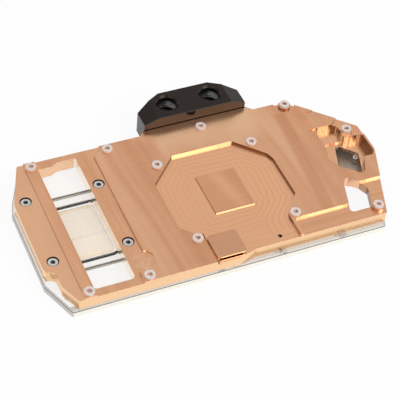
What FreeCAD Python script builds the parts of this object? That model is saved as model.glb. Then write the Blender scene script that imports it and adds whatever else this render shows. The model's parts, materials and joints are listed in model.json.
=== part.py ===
"""Full-cover graphics card water block, copper side up, resting on its clear cover.

All lengths are in millimetres.  The origin lies on the cover's outer face, below the centre of the
square of board screws.  +X runs along the block, +Y points to the port terminal, +Z out of the copper.
"""
import FreeCAD, Part
import math
import os

V = FreeCAD.Vector

# Plates
COVER_T = 4.5
PLATE_T = 8.0
FAR_Y = 54.3
NEAR_Y = -47.8
NEAR_RIGHT_Y = -44.9
NEAR_LEFT_X = -102.6
NEAR_STEP_X = -13.0
NEAR_STEP_RUN = 12.0
LEFT_X = -113.3
RIGHT_X = 95.2
COVER_LEFT_LIP = 1.2
COVER_BEVEL = 0.8
PLATE_UNDERCUT = 1.0

# Levels cut below the copper's top
STEP_DROP = 1.0
RIGHT_DROP = 1.4
RECESS_DROP = 1.6
PAD_DROP = 1.0
SHALLOW_DROP = 0.4
SHELF_DROP = 1.2
PATCH_DROP = 0.5
POCKET_DROP = 4.8
DEEP_DROP = 5.8
MOAT_DROP = 2.7
MOAT_W = 0.7
RELIEF_H = 2.0

# Board screws and their washers
GPU_PITCH = 58.4
WASHER_OD = 5.9
WASHER_ID = 3.0
WASHER_T = 1.2
BOSS_R = 3.7
TAP_R = 1.25
BOARD_TAP_DEPTH = 4.5

# Socket head screws
HEAD_R = 2.75
HEAD_H = 2.5
HEAD_CLEARANCE = 0.35
SHANK_CLEARANCE = 0.35
SOCKET_AF = 2.5
SOCKET_DEPTH = 1.3
HEAD_RECESS = 0.1
COVER_TAP_DEPTH = 5.0
COVER_SCREW_BITE = 4.2

# Bridge under the window
BRIDGE_FLOOR = 1.5
BRIDGE_L = 50.5
BRIDGE_W = 53.4
BRIDGE_OFFSET = 7.35
BRIDGE_Y = 4.8
BRIDGE_PITCH_X = 42.1
BRIDGE_PITCH_Y = 45.2
BRIDGE_HEAD_DEPTH = 3.0
BRIDGE_SEAL_L = 36.3
BRIDGE_SEAL_W = 40.7
BRIDGE_CORD = 1.4
BRIDGE_GROOVE = 1.0
PANEL_T = 0.4
PANEL_MARGIN = 1.6

# Coolant side
CHANNEL_DEPTH = 2.5
FIN_H = 3.0
FIN_GAP = 0.6
FIN_PITCH = 1.2
FIN_COUNT = 28
FIN_LENGTH = 38.0
CHAMBER_L = 48.0
CHAMBER_W = 54.0
JET_T = 0.8
JET_SLOT = 2.4
JET_LEFT_X = -27.0
JET_RIGHT_X = 19.5
JET_W = 46.0
FEED_DEPTH = 2.5
FEED_W = 9.0
FEED_X0 = -41.0
FEED_X1 = 16.0
SEAL_CLEARANCE = 2.8
CHANNEL_CLEARANCE = 2.4
SEAL_W = 1.8
SEAL_T = 1.5

# Port terminal
TERMINAL_X = 6.2
TERMINAL_L = 63.35
TERMINAL_W = 20.3
TERMINAL_BOTTOM = 2.2
TERMINAL_RISE = 6.8
TERMINAL_SLOPE_L = 8.7
TERMINAL_SLOPE_H = 3.0
TERMINAL_CUT_X = 16.0
TERMINAL_CUT_Y = 8.9
SEAT_OUT = 3.4
SEAT_MARGIN = 0.6
PORT_PITCH = 27.0
PORT_SETBACK = 11.0
PORT_R = 5.8
PORT_DEPTH = 8.8
PORT_MOUTH = 1.1
DUCT_R = 4.3
PASSAGE_Z = 8.5
PASSAGE_R = 2.2
PASSAGE_HALF = 3.0
PORT_SEAL_W = 1.1
PORT_SEAL_T = 1.0
PORT_SEAL_GAP = 0.25
TERMINAL_SCREW_PITCH = 26.2
TERMINAL_TAP_DEPTH = 5.5
END_SEAT = 8.8
MID_SEAT = 16.0

# Plate set in the cover behind the upper right opening
INSERT_T = 1.5
POST_R = 1.6
POST_BORE_R = 0.8

TOP = COVER_T + PLATE_T
SEAT_Y = FAR_Y + SEAT_OUT
STRIP_Z = TOP - STEP_DROP
RECESS_Z = TOP - RECESS_DROP
SHANK_HOLE_R = TAP_R + SHANK_CLEARANCE
HEAD_HOLE_R = HEAD_R + HEAD_CLEARANCE

GPU_HOLES = [(sx * GPU_PITCH / 2, sy * GPU_PITCH / 2) for sx in (-1, 1) for sy in (-1, 1)]
FAR_HOLES = [(-96.15, 50.2), (-51.1, 50.2), (6.5, 50.2)]
NEAR_HOLES = [(-96.15, -44.4), (-62.85, -44.4)]
RIGHT_HOLES = [(61.2, 51.8), (86.8, 21.0), (75.7, -39.3)]
BOARD_HOLES = GPU_HOLES + FAR_HOLES + NEAR_HOLES + RIGHT_HOLES

BAY_SCREW = (14.4, -40.6)
NEAR_SCREWS = [(-22.3, -40.6), BAY_SCREW, (51.0, -40.6)]
FAR_SCREWS = [(-38.0, 51.6), (48.0, 51.6)]
LEFT_SCREWS = [(-103.5, 42.0), (-103.0, -34.0)]
RIGHT_SCREWS = [(78.0, 34.0), (62.9, -6.0)]
COVER_SCREWS = NEAR_SCREWS + FAR_SCREWS + LEFT_SCREWS + RIGHT_SCREWS

WINDOW = [(-93, -42.7, 2.2), (-70, -42.7, 2.2), (-70, 50.3, 1.0), (-81, 50.3), (-85, 48.2),
          (-93, 48.2, 1.0)]
LOWER_OPENING = [(65.3, -17.0), (67.5, -14.8), (69.5, -15.0), (74.5, -19.5), (77.3, -24.5, 2.0),
                 (73.8, -35.0), (72.0, -38.1), (59.2, -38.1, 2.0)]
RELIEF = [(62.5, -25.0), (65.0, -13.0), (70.8, -11.5), (77.0, -16.5), (80.0, -24.0), (76.6, -34.5),
          (74.0, -38.1), (59.2, -38.1, 2.0)]
COVER_OPENING = [(62.5, -25.0), (66.0, -10.6), (72.0, -9.4), (78.0, -13.0), (81.8, -22.0), (79.0, -31.5),
                 (75.0, -38.1, 2.0), (59.2, -38.1, 2.0)]
UPPER_OPENING = [(72.1, 0.5, 2.0), (77.1, 14.5), (79.6, 14.5), (87.6, 6.5), (87.6, 5.0), (83.1, -8.5, 1.5),
                 (80.0, -12.0), (71.5, -4.5, 1.5)]
POCKET = [(71.3, 28.0, 1.5), (80.5, 28.0), (83.4, 26.0), (83.4, 16.3), (91.8, 16.3), (94.0, 14.0),
          (94.0, 0.5, 1.5), (92.0, -2.3), (86.5, -2.3, 1.5), (82.0, -12.0, 1.5), (79.0, -14.0, 1.5),
          (68.5, -4.5, 2.0), (66.0, 3.0, 2.0), (68.2, 10.0), (68.8, 24.0, 2.0)]
DEEP_SPLIT_Y = 17.2
SHALLOW = [(68.5, 23.8), (65.0, 24.3), (63.0, 27.0), (63.0, 31.0), (64.3, 35.2), (69.3, 35.3), (69.6, 38.5),
           (71.0, 41.3), (75.0, 42.2), (95.0, 42.2), (100.0, 30.0), (100.0, 14.0), (80.0, 14.0), (78.0, 22.0)]
SHELF = [(65.3, 24.2), (70.8, 24.2), (70.8, 28.0), (65.3, 28.0)]
BOSS_MOAT = [(81.0, 28.6), (84.5, 31.0), (90.0, 36.0), (100.0, 24.0), (100.0, 15.6), (83.4, 15.6)]
FAR_MOAT = [(55.0, 60.0), (55.0, 47.2, 2.0), (60.0, 45.5, 2.0), (65.0, 46.4), (66.8, 49.6), (70.0, 60.0)]
LEFT_STRIP = [(-99.5, 70), (-99.5, -70), (-130, -70), (-130, 70)]
WINDOW_STRIP = [(-93, 60), (-50.5, 60), (-55, 54), (-60, 48, 2.0), (-60, -28, 1.5), (-67, -40),
                (-67, -60), (-93, -60)]
PATCH = [(-68.0, -28.0), (-58.5, -27.5), (-55.8, -31.0, 1.2), (-57.0, -38.0, 1.5), (-62.5, -41.0), (-68.0, -40.0)]
RIGHT_STRIP = [(27.0, -32.6, 1.5), (60.6, -32.6, 1.0), (65.3, -17.0), (72.0, -19.2), (100.0, -19.2),
               (100.0, -60.0), (27.0, -60.0)]
OCTAGON = [(-18.5, 33.6, 1.5), (18.8, 33.6, 1.5), (34.0, 18.0, 1.5), (35.7, 13.0), (35.7, -15.5),
           (25.2, -29.2), (25.2, -60.0), (-25.6, -60.0), (-25.6, -29.2), (-35.8, -18.0), (-35.8, 16.0, 1.5)]
DIE_PAD = [(-12.0, -14.6), (11.2, -14.6), (11.2, 14.4), (-12.0, 14.4)]
CORNER_PAD = [(-24.3, -45.5, 2.0), (-7.3, -45.5, 2.0), (-7.3, -29.0, 2.0), (-24.3, -29.0, 2.0)]
INSERT = [(70.5, -5.0), (80.5, -11.5), (86.0, -8.5), (91.0, -1.0), (92.0, 4.0), (92.0, 17.0), (84.0, 26.0),
          (70.0, 26.0)]
POST = (86.3, 5.5)

BRIDGE_X = WINDOW[0][0] + BRIDGE_OFFSET
SEAL_LEFT = BRIDGE_X + BRIDGE_L / 2 + SEAL_CLEARANCE
CHANNEL_LEFT = SEAL_LEFT + CHANNEL_CLEARANCE


def rounded(points):
    """Closed wire through (x, y, radius) corners."""
    corners = []
    count = len(points)
    for i, point in enumerate(points):
        p = V(point[0], point[1], 0)
        radius = point[2] if len(point) > 2 else 0
        if radius <= 0:
            corners.append((p, None, p))
            continue
        u = (V(points[i - 1][0], points[i - 1][1], 0) - p).normalize()
        after = points[(i + 1) % count]
        w = (V(after[0], after[1], 0) - p).normalize()
        half = math.acos(max(-1.0, min(1.0, u.dot(w)))) / 2
        run = radius / math.tan(half)
        bisector = (u + w).normalize()
        middle = p + bisector * (radius / math.sin(half) - radius)
        corners.append((p + u * run, middle, p + w * run))
    edges = []
    for i, (start, middle, end) in enumerate(corners):
        if middle is not None:
            edges.append(Part.Arc(start, middle, end).toShape())
        following = corners[(i + 1) % count][0]
        if end.distanceToPoint(following) > 1e-6:
            edges.append(Part.makeLine(end, following))
    return Part.Wire(edges)


def prism(points, z0, z1):
    """Solid between two heights over a rounded outline."""
    solid = Part.Face(rounded(points)).extrude(V(0, 0, z1 - z0))
    solid.translate(V(0, 0, z0))
    return solid


def rectangle(cx, cy, length, width, radius):
    """Corners of a centred rectangle with one corner radius."""
    return [(cx - length / 2, cy - width / 2, radius), (cx + length / 2, cy - width / 2, radius),
            (cx + length / 2, cy + width / 2, radius), (cx - length / 2, cy + width / 2, radius)]


def disc(x, y, radius, z0, z1):
    """Upright cylinder."""
    return Part.makeCylinder(radius, z1 - z0, V(x, y, z0))


def ring(points, width, z0, z1):
    """Closed cord of rectangular section along a rounded path."""
    path = rounded(points)
    outer = Part.Face(path.makeOffset2D(width / 2)).extrude(V(0, 0, z1 - z0))
    inner = Part.Face(path.makeOffset2D(-width / 2)).extrude(V(0, 0, z1 - z0))
    cord = outer.cut(inner)
    cord.translate(V(0, 0, z0))
    return cord


def stadium(cx, cz, half, radius, y0, y1):
    """Long round bar along Y with a slot section."""
    points = rectangle(cx, cz, 2 * (half + radius), 2 * radius, radius - 1e-4)
    bar = prism(points, -y1, -y0)
    bar.rotate(V(0, 0, 0), V(1, 0, 0), 90)
    return bar


def screw(length, head_h):
    """Socket head screw: head above z 0, shank below."""
    head = Part.makeCylinder(HEAD_R, head_h)
    apothem = SOCKET_AF / 2 / math.cos(math.pi / 6)
    corners = [(apothem * math.cos(math.pi / 3 * k), apothem * math.sin(math.pi / 3 * k)) for k in range(6)]
    socket = prism(corners, head_h - SOCKET_DEPTH, head_h + 1)
    shank = Part.makeCylinder(TAP_R, length, V(0, 0, -length))
    return head.fuse(shank).cut(socket)


def placed(shape, x, y, z, turn):
    """Copy turned about X and moved."""
    copy = shape.copy()
    copy.rotate(V(0, 0, 0), V(1, 0, 0), turn)
    copy.translate(V(x, y, z))
    return copy


def group(solids):
    """One shape of several separate solids."""
    return Part.makeCompound(solids)


def plate_outline():
    """Copper outline, with the seat of the terminal."""
    seat0 = TERMINAL_X - TERMINAL_L / 2 - SEAT_MARGIN
    seat1 = TERMINAL_X + TERMINAL_L / 2 + SEAT_MARGIN
    return [(-103.2, FAR_Y, 1.0), (seat0 - SEAT_OUT, FAR_Y, 0.8), (seat0, SEAT_Y, 0.8),
            (seat1, SEAT_Y, 0.8), (seat1 + SEAT_OUT, FAR_Y, 0.8), (62.5, FAR_Y, 1.0),
            (RIGHT_X, 22.8, 1.5), (RIGHT_X, 1.5, 2.0), (78.5, NEAR_RIGHT_Y, 1.5),
            (NEAR_STEP_X + NEAR_STEP_RUN, NEAR_RIGHT_Y, 6.0), (NEAR_STEP_X, NEAR_Y, 6.0),
            (NEAR_LEFT_X, NEAR_Y, 1.0), (-107.8, -35.8, 1.0), (-107.8, -24.2, 3.6), (-112.6, -24.2, 0.6), (LEFT_X, -20.5, 1.0),
            (LEFT_X, 27.0, 1.5)]


def cover_outline():
    """Clear cover outline: the copper's, with a lip at the left and near edges."""
    outline = plate_outline()
    left = LEFT_X - COVER_LEFT_LIP
    slope = (RIGHT_X - 78.5) / (1.5 - NEAR_RIGHT_Y)
    corner = 78.5 - slope * (NEAR_RIGHT_Y - NEAR_Y)
    return outline[:8] + [(corner, NEAR_Y, 1.5), (-106.1, NEAR_Y, 1.5), (left, -26.5, 1.5),
                          (left, 27.5, 1.5), (left + 2.4, 35.0, 1.5)]


def make_cold_plate():
    """Machined copper plate with the recesses above and the coolant channels below."""
    body = prism(plate_outline(), COVER_T, TOP)
    reach = PLATE_UNDERCUT + 1
    x0 = NEAR_LEFT_X + 1
    wedge = Part.makePolygon([V(x0, NEAR_Y - 1, COVER_T - 1), V(x0, NEAR_Y + reach, COVER_T - 1),
                              V(x0, NEAR_Y - 1, COVER_T + reach), V(x0, NEAR_Y - 1, COVER_T - 1)])
    body = body.cut(Part.Face(wedge).extrude(V(NEAR_STEP_X - 2 - x0, 0, 0)))

    over = TOP + 2
    bosses = group([disc(x, y, BOSS_R, 0, over + 1) for x, y in BOARD_HOLES])
    octagon = prism(OCTAGON, RECESS_Z, over).cut(prism(DIE_PAD, RECESS_Z, TOP - PAD_DROP))
    octagon = octagon.cut(prism(CORNER_PAD, RECESS_Z, over))
    pad_x, pad_y = CORNER_PAD[0][0], CORNER_PAD[0][1]
    moat_left = rectangle(pad_x - MOAT_W / 2, pad_y + 3, MOAT_W, 34, 0)
    moat_near = rectangle(pad_x + 7, pad_y - MOAT_W / 2, 14 + 2 * MOAT_W, MOAT_W, 0)
    deep = prism(POCKET, TOP - DEEP_DROP, over)
    shelf_cut = Part.makeBox(60, 60, PLATE_T, V(50, DEEP_SPLIT_Y, TOP - POCKET_DROP - PLATE_T))
    tools = [octagon, prism(moat_left, TOP - MOAT_DROP, over), prism(moat_near, TOP - MOAT_DROP, over),
             prism(LEFT_STRIP, STRIP_Z, over), prism(WINDOW_STRIP, STRIP_Z, over),
             prism(PATCH, TOP - PATCH_DROP, over), prism(RIGHT_STRIP, TOP - RIGHT_DROP, over),
             prism(SHALLOW, TOP - SHALLOW_DROP, over), prism(SHELF, TOP - SHELF_DROP, over),
             prism(BOSS_MOAT, TOP - SHELF_DROP, over), prism(FAR_MOAT, TOP - SHELF_DROP, over),
             deep.cut(shelf_cut)]
    body = body.cut([tool.cut(bosses) for tool in tools])

    under = COVER_T - 1
    tools = [prism(points, under, over) for points in (WINDOW, LOWER_OPENING, UPPER_OPENING)]
    tools.append(prism(RELIEF, under, COVER_T + RELIEF_H))
    tools += [disc(x, y, TAP_R, TOP - BOARD_TAP_DEPTH, over) for x, y in BOARD_HOLES]
    tools += [disc(x, y, TAP_R, under, COVER_T + COVER_TAP_DEPTH) for x, y in COVER_SCREWS]
    tools.append(disc(BAY_SCREW[0], BAY_SCREW[1], TAP_R, under, over))
    seat = STRIP_Z - BRIDGE_HEAD_DEPTH
    for x, y in bridge_holes():
        tools.append(disc(x, y, HEAD_HOLE_R, seat, over))
        tools.append(disc(x, y, SHANK_HOLE_R, under, seat + 1))
    for x in terminal_screw_xs():
        tools.append(Part.makeCylinder(TAP_R, TERMINAL_TAP_DEPTH + 1, V(x, SEAT_Y - TERMINAL_TAP_DEPTH,
                                                                        PASSAGE_Z), V(0, 1, 0)))
    return body.cut(tools).cut(coolant_cuts())


def coolant_cuts():
    """Tools that cut the coolant side of the copper."""
    under = COVER_T - 1
    roof = COVER_T + CHANNEL_DEPTH
    half = PASSAGE_HALF + PASSAGE_R
    in_x, out_x = port_xs()
    left = [(CHANNEL_LEFT, 46), (in_x + half, 46), (in_x + half, 38), (-47, 38), (-47, -23), (-42, -23),
            (-42, 5), (-33, 5), (-33, -32), (CHANNEL_LEFT, -32)]
    right = [(22, -27), (54, -27), (54, 46), (out_x - half, 46), (out_x - half, 38), (46, 38), (46, -18),
             (22, -18)]
    fins_l = FIN_PITCH * (FIN_COUNT - 1) + FIN_GAP + 1.0
    island = prism(rectangle(0, 0, fins_l, FIN_LENGTH, 0), COVER_T + JET_T, roof + 1)
    chamber = prism(rectangle(0, 0, CHAMBER_L, CHAMBER_W, 0), under, roof).cut(island)
    seat_x = (JET_LEFT_X + JET_RIGHT_X) / 2
    jet_seat = prism(rectangle(seat_x, 0, JET_RIGHT_X - JET_LEFT_X, JET_W, 0), under, COVER_T + JET_T)
    tools = [prism(left, under, roof), prism(right, under, roof), chamber, jet_seat]
    for k in range(FIN_COUNT):
        x = FIN_PITCH * (k - (FIN_COUNT - 1) / 2)
        tools.append(Part.makeBox(FIN_GAP, FIN_LENGTH, FIN_H + 1,
                                  V(x - FIN_GAP / 2, -FIN_LENGTH / 2, COVER_T + JET_T - 1)))
    for x in port_xs():
        tools.append(stadium(x, PASSAGE_Z, PASSAGE_HALF, PASSAGE_R, 40, SEAT_Y + 1))
        tools.append(prism(rectangle(x, 42, 2 * half, 8, 0), under, PASSAGE_Z + PASSAGE_R))
    return tools


def port_xs():
    """X of the inlet and outlet ports."""
    return (TERMINAL_X - PORT_PITCH / 2, TERMINAL_X + PORT_PITCH / 2)


def terminal_screw_xs():
    """X of the screws that hold the terminal."""
    return (TERMINAL_X - TERMINAL_SCREW_PITCH, TERMINAL_X, TERMINAL_X + TERMINAL_SCREW_PITCH)


def bridge_holes():
    """Centres of the four screws beside the window."""
    return [(BRIDGE_X + sx * BRIDGE_PITCH_X / 2, BRIDGE_Y + sy * BRIDGE_PITCH_Y / 2)
            for sx in (-1, 1) for sy in (-1, 1)]


def seal_path():
    """Centre line of the chamber seal."""
    return [(SEAL_LEFT, -36.0, 5), (54.5, -36.0, 5), (58.6, -24.0, 5), (58.6, 48.2, 5), (SEAL_LEFT, 48.2, 5)]


def make_clear_cover():
    """Clear plate with the seal groove, the jet feed and the screw holes."""
    body = prism(cover_outline(), 0, COVER_T)
    rim = [edge for edge in body.Edges if edge.BoundBox.ZMin > COVER_T - 1e-6]
    body = body.makeChamfer(COVER_BEVEL, rim)
    over = COVER_T + 1
    feed = rectangle((FEED_X0 + FEED_X1) / 2, 0, FEED_X1 - FEED_X0, FEED_W, 0)
    head_z = HEAD_H + HEAD_RECESS
    tools = [prism(feed, COVER_T - FEED_DEPTH, over), ring(seal_path(), SEAL_W, COVER_T - SEAL_T, over),
             prism(rectangle(BRIDGE_X, BRIDGE_Y, BRIDGE_L, BRIDGE_W, 3), BRIDGE_FLOOR, over),
             prism(COVER_OPENING, -1, over), prism(INSERT, -1, INSERT_T),
             disc(POST[0], POST[1], POST_R, 0, over)]
    for x, y in COVER_SCREWS:
        tools.append(disc(x, y, SHANK_HOLE_R, -1, over))
        tools.append(disc(x, y, HEAD_HOLE_R, -1, head_z))
    return body.cut(tools)


def make_bridge_block():
    """Clear block in the cover, below the window."""
    body = prism(rectangle(BRIDGE_X, BRIDGE_Y, BRIDGE_L, BRIDGE_W, 3), BRIDGE_FLOOR, COVER_T)
    tools = [ring(bridge_seal_path(), BRIDGE_CORD, BRIDGE_FLOOR - 1, BRIDGE_FLOOR + BRIDGE_GROOVE),
             prism(panel_outline(), BRIDGE_FLOOR - 1, BRIDGE_FLOOR + PANEL_T)]
    tools += [disc(x, y, TAP_R, 0, COVER_T + 1) for x, y in bridge_holes()]
    return body.cut(tools)


def bridge_seal_path():
    """Centre line of the bridge seal."""
    return rectangle(BRIDGE_X, BRIDGE_Y, BRIDGE_SEAL_L, BRIDGE_SEAL_W, 4)


def panel_outline():
    """Outline of the panel inside the bridge seal."""
    inset = BRIDGE_CORD + 2 * PANEL_MARGIN
    return rectangle(BRIDGE_X, BRIDGE_Y, BRIDGE_SEAL_L - inset, BRIDGE_SEAL_W - inset, 2)


def make_jet_plate():
    """Thin plate over the fins with one jet slot."""
    x = (JET_LEFT_X + JET_RIGHT_X) / 2
    body = prism(rectangle(x, 0, JET_RIGHT_X - JET_LEFT_X, JET_W, 0), COVER_T, COVER_T + JET_T)
    slot = rectangle(0, 0, FIN_PITCH * (FIN_COUNT - 1), JET_SLOT, 0)
    return body.cut(prism(slot, COVER_T - 1, COVER_T + JET_T + 1))


def make_terminal():
    """Black block with two ports up and two passages to the copper."""
    x0 = TERMINAL_X - TERMINAL_L / 2
    x1 = TERMINAL_X + TERMINAL_L / 2
    y1 = SEAT_Y + TERMINAL_W
    z1 = TOP + TERMINAL_RISE
    plan = [(x0, SEAT_Y), (x1, SEAT_Y), (x1, y1 - TERMINAL_CUT_Y), (x1 - TERMINAL_CUT_X, y1),
            (x0 + TERMINAL_CUT_X, y1), (x0, y1 - TERMINAL_CUT_Y)]
    low = z1 - TERMINAL_SLOPE_H
    front = [(x0, TERMINAL_BOTTOM), (x1, TERMINAL_BOTTOM), (x1, low), (x1 - TERMINAL_SLOPE_L, z1),
             (x0 + TERMINAL_SLOPE_L, z1), (x0, low)]
    bar = prism(front, -y1 - 1, -SEAT_Y + 1)
    bar.rotate(V(0, 0, 0), V(1, 0, 0), 90)
    body = prism(plan, TERMINAL_BOTTOM - 1, z1 + 1).common(bar)
    port_y = SEAT_Y + PORT_SETBACK
    tools = []
    for x in port_xs():
        floor = z1 - PORT_DEPTH
        tools.append(disc(x, port_y, PORT_R, floor, z1 + 1))
        tools.append(Part.makeCone(PORT_R, PORT_R + PORT_MOUTH, PORT_MOUTH, V(x, port_y, z1 - PORT_MOUTH)))
        tools.append(disc(x, port_y, DUCT_R, PASSAGE_Z - PASSAGE_R, floor + 1))
        tools.append(stadium(x, PASSAGE_Z, PASSAGE_HALF, PASSAGE_R, SEAT_Y - 1, port_y))
        tools.append(port_seal(x, SEAT_Y - 1))
    for x, seat in terminal_seats():
        tools.append(Part.makeCylinder(SHANK_HOLE_R, TERMINAL_W + 2, V(x, SEAT_Y - 1, PASSAGE_Z), V(0, 1, 0)))
        tools.append(Part.makeCylinder(HEAD_HOLE_R, TERMINAL_W, V(x, SEAT_Y + seat, PASSAGE_Z), V(0, 1, 0)))
    return body.cut(tools)


def terminal_seats():
    """X and head seat distance of each terminal screw."""
    return list(zip(terminal_screw_xs(), (END_SEAT, MID_SEAT, END_SEAT)))


def port_seal(x, y0):
    """Face seal round one passage, from y0 to the groove's floor."""
    inner = PASSAGE_R + PORT_SEAL_GAP
    y1 = SEAT_Y + PORT_SEAL_T
    cord = stadium(x, PASSAGE_Z, PASSAGE_HALF, inner + PORT_SEAL_W, y0, y1)
    return cord.cut(stadium(x, PASSAGE_Z, PASSAGE_HALF, inner, y0 - 1, y1 + 1))


def make_washers(places):
    """Nylon washers on the copper's bosses."""
    blank = Part.makeCylinder(WASHER_OD / 2, WASHER_T)
    blank = blank.cut(Part.makeCylinder(WASHER_ID / 2, WASHER_T + 2, V(0, 0, -1)))
    return group([placed(blank, x, y, TOP, 0) for x, y in places])


def make_cover_screws(places):
    """Screws from the cover's outer face into the copper."""
    seat = HEAD_H + HEAD_RECESS
    blank = screw(COVER_T - seat + COVER_SCREW_BITE, HEAD_H)
    return group([placed(blank, x, y, seat, 180) for x, y in places])


def make_bridge_screws():
    """Screws from the copper's left strips into the bridge block."""
    seat = STRIP_Z - BRIDGE_HEAD_DEPTH
    blank = screw(seat - BRIDGE_FLOOR - PANEL_T, HEAD_H)
    return group([placed(blank, x, y, seat, 0) for x, y in bridge_holes()])


def make_terminal_screws():
    """Screws from the terminal's far face into the copper's edge."""
    solids = []
    for x, seat in terminal_seats():
        blank = screw(seat + TERMINAL_TAP_DEPTH - 0.5, HEAD_H)
        solids.append(placed(blank, x, SEAT_Y + seat, PASSAGE_Z, -90))
    return group(solids)


def make_parts():
    """All pieces by node name."""
    post = disc(POST[0], POST[1], POST_R, INSERT_T, COVER_T)
    in_x, out_x = port_xs()
    return {
        "cold_plate": make_cold_plate(),
        "clear_cover": make_clear_cover(),
        "chamber_seal": ring(seal_path(), SEAL_W, COVER_T - SEAL_T, COVER_T),
        "jet_plate": make_jet_plate(),
        "bridge_block": make_bridge_block(),
        "bridge_seal": ring(bridge_seal_path(), BRIDGE_CORD, BRIDGE_FLOOR, BRIDGE_FLOOR + BRIDGE_GROOVE),
        "bridge_panel": prism(panel_outline(), BRIDGE_FLOOR, BRIDGE_FLOOR + PANEL_T),
        "bridge_screws": make_bridge_screws(),
        "terminal_block": make_terminal(),
        "inlet_seal": port_seal(in_x, SEAT_Y),
        "outlet_seal": port_seal(out_x, SEAT_Y),
        "terminal_screws": make_terminal_screws(),
        "gpu_washers": make_washers(GPU_HOLES),
        "far_washers": make_washers(FAR_HOLES),
        "near_washers": make_washers(NEAR_HOLES),
        "right_washers": make_washers(RIGHT_HOLES),
        "near_cover_screws": make_cover_screws(NEAR_SCREWS),
        "far_cover_screws": make_cover_screws(FAR_SCREWS),
        "left_cover_screws": make_cover_screws(LEFT_SCREWS),
        "right_cover_screws": make_cover_screws(RIGHT_SCREWS),
        "insert_plate": prism(INSERT, 0, INSERT_T),
        "insert_post": post.cut(disc(POST[0], POST[1], POST_BORE_R, INSERT_T - 1, COVER_T + 1)),
    }


os.makedirs("parts", exist_ok=True)
for name, shape in make_parts().items():
    if not shape.isValid():
        print("not valid:", name)
    print(name, len(shape.Solids), round(shape.Volume, 1))
    shape.exportStep("parts/" + name + ".step")
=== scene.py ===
"""Looks of a full-cover graphics card water block: milled copper on a clear cover, with a port terminal."""
from __future__ import annotations

import json
import logging
import math
from dataclasses import dataclass
from enum import Enum
from typing import Any, Sequence, Union

import bpy
from mathutils import Matrix, Vector

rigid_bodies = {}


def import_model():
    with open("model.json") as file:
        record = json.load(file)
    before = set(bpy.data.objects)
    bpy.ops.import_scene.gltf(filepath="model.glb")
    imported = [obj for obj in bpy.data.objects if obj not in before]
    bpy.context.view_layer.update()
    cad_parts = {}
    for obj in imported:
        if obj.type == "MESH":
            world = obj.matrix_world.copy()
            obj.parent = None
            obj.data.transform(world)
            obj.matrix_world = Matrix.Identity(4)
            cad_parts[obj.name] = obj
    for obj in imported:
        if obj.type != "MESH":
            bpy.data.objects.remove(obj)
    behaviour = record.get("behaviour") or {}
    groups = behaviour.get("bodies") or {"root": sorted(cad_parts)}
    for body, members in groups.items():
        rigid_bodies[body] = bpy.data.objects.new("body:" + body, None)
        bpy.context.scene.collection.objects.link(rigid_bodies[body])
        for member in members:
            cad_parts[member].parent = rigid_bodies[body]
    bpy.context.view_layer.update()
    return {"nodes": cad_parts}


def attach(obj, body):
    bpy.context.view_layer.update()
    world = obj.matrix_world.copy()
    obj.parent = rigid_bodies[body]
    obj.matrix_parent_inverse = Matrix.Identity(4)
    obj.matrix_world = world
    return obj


MM = 0.001
LOG = logging.getLogger("water_block")
Number = Union[int, float]
Triple = tuple[float, float, float]
Colour = Triple
Holes = tuple[tuple[float, float], ...]
Nodes = dict[str, bpy.types.Object]
WHITE = (1.0, 1.0, 1.0, 1.0)
WINDOW_CENTRE = (-85.65, 4.8)
WINDOW_SCREW_PITCH = (42.1, 45.2)
TERMINAL_FRONT_Y = 57.7 * MM


class Lane(Enum):
    """Middle of each pass of the fly cutter over the copper's top, in millimetres along the block."""

    LEFT = -43.7
    MIDDLE = 0.5
    RIGHT = 45.0


class Zone(Enum):
    """Boxes of the copper's plan in millimetres: least and largest x, then least and largest y."""

    RECESS = (-36.6, 36.6, -34.6, 34.6)
    DIE_PAD = (-12.0, 11.2, -14.6, 14.4)
    SQUARE_PAD = (-24.3, -7.3, -45.5, -29.0)
    SQUARE_PAD_WALLS = (-24.9, -6.7, -45.8, -28.4)
    NEAR_MOAT = (-24.0, -5.0, -47.6, -45.4)
    BAY = (-25.6, 25.2, -46.0, -31.0)
    BAY_RIGHT = (10.5, 34.0, -37.0, -13.0)
    PATCH = (-67.5, -56.0, -40.5, -27.8)
    POCKET = (62.0, 94.4, -14.5, 44.0)
    LOWER_OPENING = (57.0, 79.0, -38.6, -14.5)
    WINDOW_RIGHT_WALL = (-71.0, -69.0, -43.5, 50.5)
    WINDOW_FAR_WALL = (-94.0, -71.0, 46.0, 51.0)


class Level(Enum):
    """Heights in millimetres that part one level of the copper's board side from the next."""

    TOP = 12.45
    PATCH = 12.2
    RIM = 12.05
    FLOOR = 11.03
    PAD = 11.0
    BAY = 10.88
    MOAT = 10.7

    def passed(self, z: Sock) -> Sock:
        """1 above the level, else 0."""
        return z.above(self.value * MM)

    def missed(self, z: Sock) -> Sock:
        """1 below the level, else 0."""
        return z.below(self.value * MM)


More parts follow.
